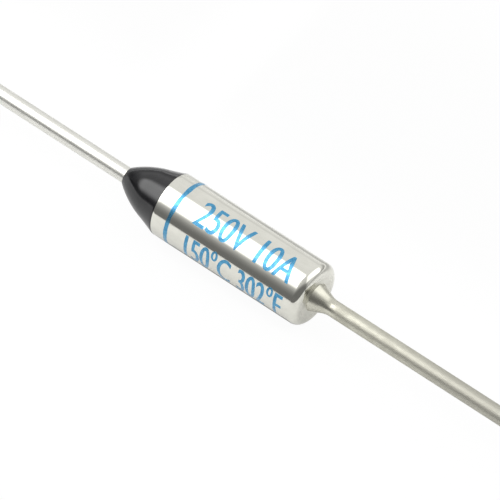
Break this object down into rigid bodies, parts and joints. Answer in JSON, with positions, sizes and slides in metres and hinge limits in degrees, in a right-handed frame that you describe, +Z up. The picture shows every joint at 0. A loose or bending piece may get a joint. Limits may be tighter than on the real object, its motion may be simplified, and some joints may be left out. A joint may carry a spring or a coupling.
{
  "type": "thermal fuse",
  "caption": "Axial thermal fuse: round metal can with a black resin seal, a wire lead at each end and a melting pellet, springs and star contact inside.",
  "frame": {"origin": "middle of the case's length, on its axis", "axes": "+X along the axis towards the case lead, the resin seal and isolated lead towards -X, +Z up"},
  "size_m": [0.0838, 0.004, 0.004],
  "materials": {
    "case_plating": "bright drawn and plated",
    "tinned_wire": "dull tinned",
    "bright_wire": "bright plated",
    "black_resin": "glossy cast",
    "ceramic": "fired, unglazed",
    "pellet": "pressed powder",
    "disc_brass": "stamped",
    "contact_silver": "silver plated",
    "spring_steel": "drawn wire",
    "blue_ink": "stamped print"
  },
  "bodies": {
    "root": {"case": "case_plating", "case_lead": "tinned_wire", "thermal_pellet": "pellet", "pellet_disc": "disc_brass", "barrel_spring": "spring_steel", "contact_disc": "disc_brass", "star_contact": "contact_silver", "trip_spring": "spring_steel", "ceramic_bushing": "ceramic", "isolated_lead": "bright_wire", "resin_seal": "black_resin"}
  },
  "joints": []
}
